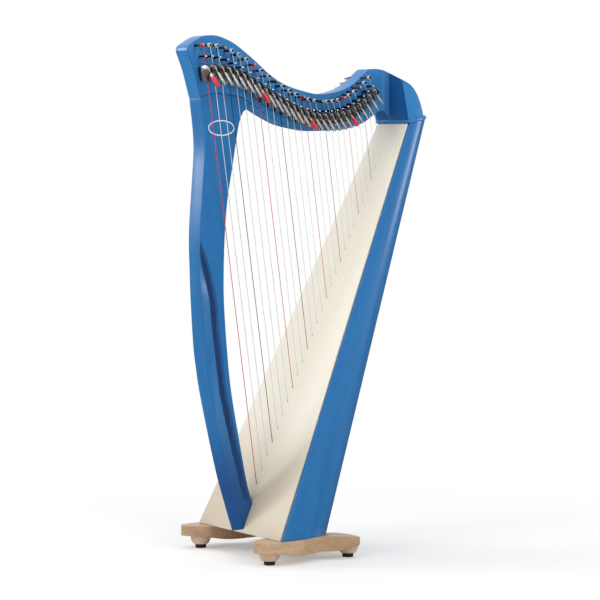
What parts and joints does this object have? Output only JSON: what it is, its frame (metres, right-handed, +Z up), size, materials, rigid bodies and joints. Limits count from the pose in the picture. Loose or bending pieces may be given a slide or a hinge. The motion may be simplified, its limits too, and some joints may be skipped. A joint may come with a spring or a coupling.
{
  "type": "lever harp",
  "caption": "Floor lever harp: arched blue neck and column, tapered soundbox with a pale soundboard, strings with a sharping lever each, standing on a two-rail base.",
  "frame": {"origin": "on the floor, at the middle of the bounding box", "axes": "+Z up, -X toward the column, +X toward the player, -Y the side with pins and levers"},
  "size_m": [0.5622, 0.3108, 0.9957],
  "materials": {
    "blue_lacquered_wood": "blue stained lacquer, satin gloss",
    "cream_spruce": "satin varnish",
    "pale_beech": "satin varnish",
    "inner_wood": "bare wood",
    "black_rubber": "matte",
    "string_nylon": "clear, red and dark monofilament",
    "nickel": "nickel plate",
    "red_lever": "red enamel",
    "screw_steel": "zinc plate"
  },
  "bodies": {
    "harp": {"ball_foot_front_far": "pale_beech", "ball_foot_front_near": "pale_beech", "ball_foot_rear_far": "pale_beech", "ball_foot_rear_near": "pale_beech", "bottom_board": "inner_wood", "brace_lower": "inner_wood", "brace_middle": "inner_wood", "brace_upper": "inner_wood", "cap_plate": "blue_lacquered_wood", "column": "blue_lacquered_wood", "column_block": "inner_wood", "column_bolt": "screw_steel", "lining_far": "inner_wood", "lining_near": "inner_wood", "neck": "blue_lacquered_wood", "neck_bolt_far": "screw_steel", "neck_bolt_near": "screw_steel", "rail_far": "pale_beech", "rail_near": "pale_beech", "rail_screw_front_far": "screw_steel", "rail_screw_front_near": "screw_steel", "rail_screw_rear_far": "screw_steel", "rail_screw_rear_near": "screw_steel", "rubber_pad_front_far": "black_rubber", "rubber_pad_front_near": "black_rubber", "rubber_pad_rear_far": "black_rubber", "rubber_pad_rear_near": "black_rubber", "soundboard": "cream_spruce", "soundbox_shell": "blue_lacquered_wood", "string_rib": "inner_wood", "strings": "string_nylon", "top_block": "inner_wood"},
    "lever_01": {"lever_01": "red_lever"},
    "lever_02": {"lever_02": "nickel"},
    "lever_03": {"lever_03": "nickel"},
    "lever_04": {"lever_04": "nickel"},
    "lever_05": {"lever_05": "nickel"},
    "lever_06": {"lever_06": "nickel"},
    "lever_07": {"lever_07": "nickel"},
    "lever_08": {"lever_08": "red_lever"},
    "lever_09": {"lever_09": "nickel"},
    "lever_10": {"lever_10": "nickel"},
    "lever_11": {"lever_11": "nickel"},
    "lever_12": {"lever_12": "nickel"},
    "lever_13": {"lever_13": "nickel"},
    "lever_14": {"lever_14": "nickel"},
    "lever_15": {"lever_15": "red_lever"},
    "lever_16": {"lever_16": "nickel"},
    "lever_17": {"lever_17": "nickel"},
    "lever_18": {"lever_18": "nickel"},
    "lever_19": {"lever_19": "nickel"},
    "lever_20": {"lever_20": "nickel"},
    "lever_21": {"lever_21": "nickel"},
    "lever_22": {"lever_22": "red_lever"},
    "lever_23": {"lever_23": "nickel"},
    "lever_24": {"lever_24": "nickel"},
    "lever_25": {"lever_25": "nickel"},
    "lever_26": {"lever_26": "nickel"},
    "lever_27": {"lever_27": "nickel"}
  },
  "joints": [
    {"name": "lever_01_turn", "type": "hinge", "parent": "harp", "child": "lever_01", "pos_m": [-0.24597, -0.04871, 0.93098], "axis": [-0.981, -0.0858, -0.174], "range_deg": [0, 88]},
    {"name": "lever_02_turn", "type": "hinge", "parent": "harp", "child": "lever_02", "pos_m": [-0.22948, -0.04738, 0.9325], "axis": [-0.981, -0.0858, -0.174], "range_deg": [0, 88]},
    {"name": "lever_03_turn", "type": "hinge", "parent": "harp", "child": "lever_03", "pos_m": [-0.21284, -0.04597, 0.9325], "axis": [-0.981, -0.0858, -0.174], "range_deg": [0, 88]},
    {"name": "lever_04_turn", "type": "hinge", "parent": "harp", "child": "lever_04", "pos_m": [-0.19581, -0.04442, 0.92956], "axis": [-0.981, -0.0858, -0.174], "range_deg": [0, 88]},
    {"name": "lever_05_turn", "type": "hinge", "parent": "harp", "child": "lever_05", "pos_m": [-0.17855, -0.04278, 0.92464], "axis": [-0.981, -0.0858, -0.174], "range_deg": [0, 88]},
    {"name": "lever_06_turn", "type": "hinge", "parent": "harp", "child": "lever_06", "pos_m": [-0.16112, -0.04105, 0.91811], "axis": [-0.981, -0.0858, -0.174], "range_deg": [0, 88]},
    {"name": "lever_07_turn", "type": "hinge", "parent": "harp", "child": "lever_07", "pos_m": [-0.14356, -0.03926, 0.9101], "axis": [-0.981, -0.0858, -0.174], "range_deg": [0, 88]},
    {"name": "lever_08_turn", "type": "hinge", "parent": "harp", "child": "lever_08", "pos_m": [-0.12588, -0.03741, 0.90076], "axis": [-0.981, -0.0858, -0.174], "range_deg": [0, 88]},
    {"name": "lever_09_turn", "type": "hinge", "parent": "harp", "child": "lever_09", "pos_m": [-0.10828, -0.03556, 0.89122], "axis": [-0.981, -0.0858, -0.174], "range_deg": [0, 88]},
    {"name": "lever_10_turn", "type": "hinge", "parent": "harp", "child": "lever_10", "pos_m": [-0.09087, -0.03374, 0.88213], "axis": [-0.981, -0.0858, -0.174], "range_deg": [0, 88]},
    {"name": "lever_11_turn", "type": "hinge", "parent": "harp", "child": "lever_11", "pos_m": [-0.07371, -0.03197, 0.87379], "axis": [-0.981, -0.0858, -0.174], "range_deg": [0, 88]},
    {"name": "lever_12_turn", "type": "hinge", "parent": "harp", "child": "lever_12", "pos_m": [-0.05688, -0.03027, 0.8667], "axis": [-0.981, -0.0858, -0.174], "range_deg": [0, 88]},
    {"name": "lever_13_turn", "type": "hinge", "parent": "harp", "child": "lever_13", "pos_m": [-0.04013, -0.02858, 0.85945], "axis": [-0.981, -0.0858, -0.174], "range_deg": [0, 88]},
    {"name": "lever_14_turn", "type": "hinge", "parent": "harp", "child": "lever_14", "pos_m": [-0.02368, -0.02695, 0.85322], "axis": [-0.981, -0.0858, -0.174], "range_deg": [0, 88]},
    {"name": "lever_15_turn", "type": "hinge", "parent": "harp", "child": "lever_15", "pos_m": [-0.00765, -0.02543, 0.84878], "axis": [-0.981, -0.0858, -0.174], "range_deg": [0, 88]},
    {"name": "lever_16_turn", "type": "hinge", "parent": "harp", "child": "lever_16", "pos_m": [0.00795, -0.02401, 0.84615], "axis": [-0.981, -0.0858, -0.174], "range_deg": [0, 88]},
    {"name": "lever_17_turn", "type": "hinge", "parent": "harp", "child": "lever_17", "pos_m": [0.02323, -0.02267, 0.84474], "axis": [-0.981, -0.0858, -0.174], "range_deg": [0, 88]},
    {"name": "lever_18_turn", "type": "hinge", "parent": "harp", "child": "lever_18", "pos_m": [0.03818, -0.0214, 0.84453], "axis": [-0.981, -0.0858, -0.174], "range_deg": [0, 88]},
    {"name": "lever_19_turn", "type": "hinge", "parent": "harp", "child": "lever_19", "pos_m": [0.05284, -0.02019, 0.84536], "axis": [-0.981, -0.0858, -0.174], "range_deg": [0, 88]},
    {"name": "lever_20_turn", "type": "hinge", "parent": "harp", "child": "lever_20", "pos_m": [0.06721, -0.01905, 0.84721], "axis": [-0.981, -0.0858, -0.174], "range_deg": [0, 88]},
    {"name": "lever_21_turn", "type": "hinge", "parent": "harp", "child": "lever_21", "pos_m": [0.08129, -0.01798, 0.85006], "axis": [-0.981, -0.0858, -0.174], "range_deg": [0, 88]},
    {"name": "lever_22_turn", "type": "hinge", "parent": "harp", "child": "lever_22", "pos_m": [0.0951, -0.01696, 0.85382], "axis": [-0.981, -0.0858, -0.174], "range_deg": [0, 88]},
    {"name": "lever_23_turn", "type": "hinge", "parent": "harp", "child": "lever_23", "pos_m": [0.10849, -0.01604, 0.85937], "axis": [-0.981, -0.0858, -0.174], "range_deg": [0, 88]},
    {"name": "lever_24_turn", "type": "hinge", "parent": "harp", "child": "lever_24", "pos_m": [0.12147, -0.01523, 0.86657], "axis": [-0.981, -0.0858, -0.174], "range_deg": [0, 88]},
    {"name": "lever_25_turn", "type": "hinge", "parent": "harp", "child": "lever_25", "pos_m": [0.13414, -0.01448, 0.87492], "axis": [-0.981, -0.0858, -0.174], "range_deg": [0, 88]},
    {"name": "lever_26_turn", "type": "hinge", "parent": "harp", "child": "lever_26", "pos_m": [0.14648, -0.01381, 0.88454], "axis": [-0.981, -0.0858, -0.174], "range_deg": [0, 88]},
    {"name": "lever_27_turn", "type": "hinge", "parent": "harp", "child": "lever_27", "pos_m": [0.15859, -0.01319, 0.89484], "axis": [-0.981, -0.0858, -0.174], "range_deg": [0, 88]}
  ]
}
